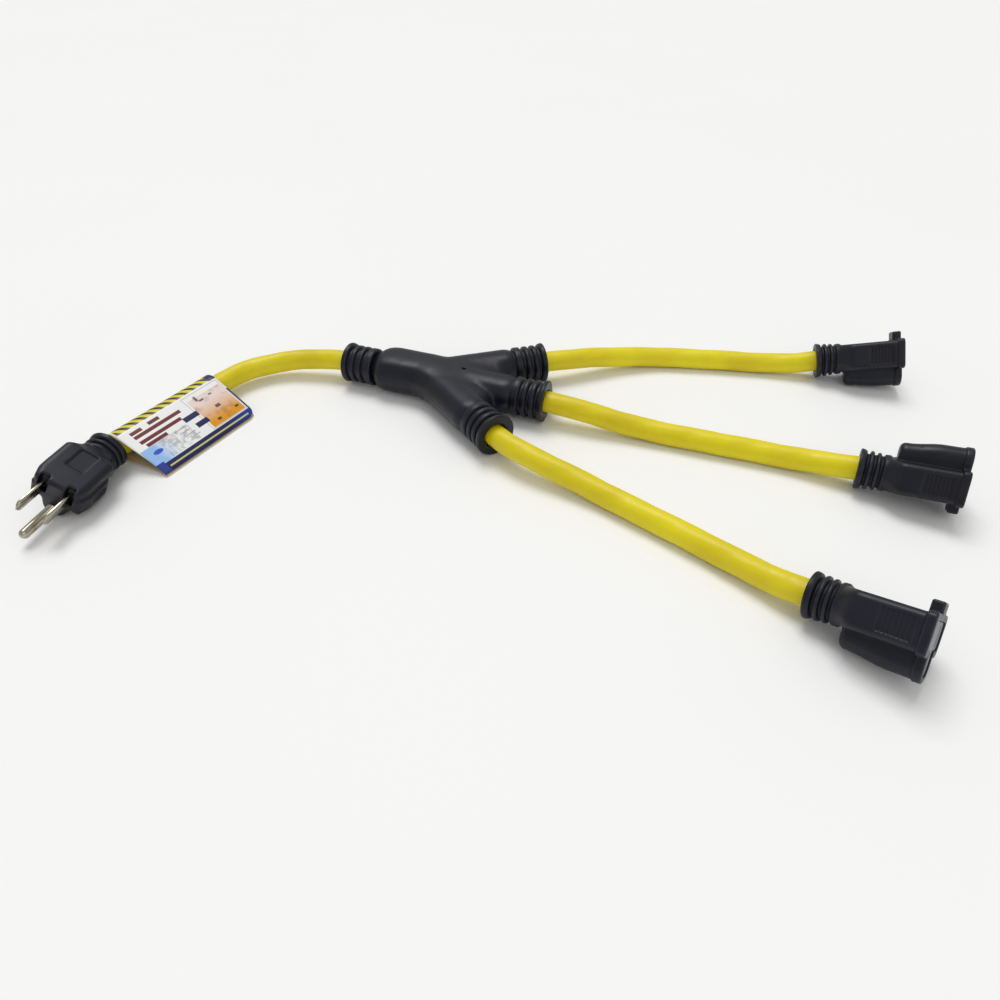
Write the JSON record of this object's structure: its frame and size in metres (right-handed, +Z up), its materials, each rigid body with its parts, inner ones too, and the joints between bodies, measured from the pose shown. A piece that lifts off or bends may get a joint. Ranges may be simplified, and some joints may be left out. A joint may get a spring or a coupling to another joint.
{
  "type": "three-way splitter extension cord",
  "caption": "Short grounded extension cord with a moulded splitter block that fans out into branch leads, each ending in a single grounded outlet; a folded card tag hangs at the plug.",
  "frame": {"origin": "on the resting surface under the middle of the splitter block, half way between its inlet collar and its middle outlet collar", "axes": "+X along the block's axis from the inlet to the middle outlet, +Y to the left branch, +Z up"},
  "size_m": [0.4157, 0.3046, 0.0351],
  "materials": {
    "black_pvc": "satin moulded PVC with a bluish sheen",
    "yellow_jacket": "smooth extruded PVC, satin",
    "plated_blade": "nickel-plated brass, lightly brushed",
    "contact_brass": "stamped brass",
    "nylon_insert": "moulded nylon",
    "outlet_insert": "moulded nylon, slightly glossy face",
    "black_insulation": "extruded PVC",
    "white_insulation": "extruded PVC",
    "green_insulation": "extruded PVC",
    "printed_card": "glossy printed card",
    "glue_film": "clear dried adhesive"
  },
  "bodies": {
    "cord_set": {"block_overmould": "black_pvc", "splice_spacer": "nylon_insert", "line_bus": "contact_brass", "neutral_bus": "contact_brass", "ground_bus": "contact_brass", "block_line_leads": "black_insulation", "block_neutral_leads": "white_insulation", "block_ground_leads": "green_insulation", "inlet_cord": "yellow_jacket", "plug_body": "black_pvc", "plug_bridge": "nylon_insert", "line_blade": "plated_blade", "neutral_blade": "plated_blade", "ground_pin": "plated_blade", "plug_line_lead": "black_insulation", "plug_neutral_lead": "white_insulation", "plug_ground_lead": "green_insulation", "left_cord": "yellow_jacket", "centre_cord": "yellow_jacket", "right_cord": "yellow_jacket", "left_connector_body": "black_pvc", "centre_connector_body": "black_pvc", "right_connector_body": "black_pvc", "left_contact_carrier": "outlet_insert", "centre_contact_carrier": "outlet_insert", "right_contact_carrier": "outlet_insert", "left_line_contact": "contact_brass", "left_neutral_contact": "contact_brass", "left_ground_contact": "contact_brass", "centre_line_contact": "contact_brass", "centre_neutral_contact": "contact_brass", "centre_ground_contact": "contact_brass", "right_line_contact": "contact_brass", "right_neutral_contact": "contact_brass", "right_ground_contact": "contact_brass", "left_line_lead": "black_insulation", "left_neutral_lead": "white_insulation", "left_ground_lead": "green_insulation", "centre_line_lead": "black_insulation", "centre_neutral_lead": "white_insulation", "centre_ground_lead": "green_insulation", "right_line_lead": "black_insulation", "right_neutral_lead": "white_insulation", "right_ground_lead": "green_insulation"},
    "tag": {"tag_card": "printed_card", "tag_glue_strip": "glue_film"}
  },
  "joints": [
    {"name": "tag_swing", "type": "hinge", "parent": "cord_set", "child": "tag", "pos_m": [-0.124, -0.049, 0.0094], "axis": [-0.1564, -0.9877, 0], "range_deg": [0, 210]}
  ]
}
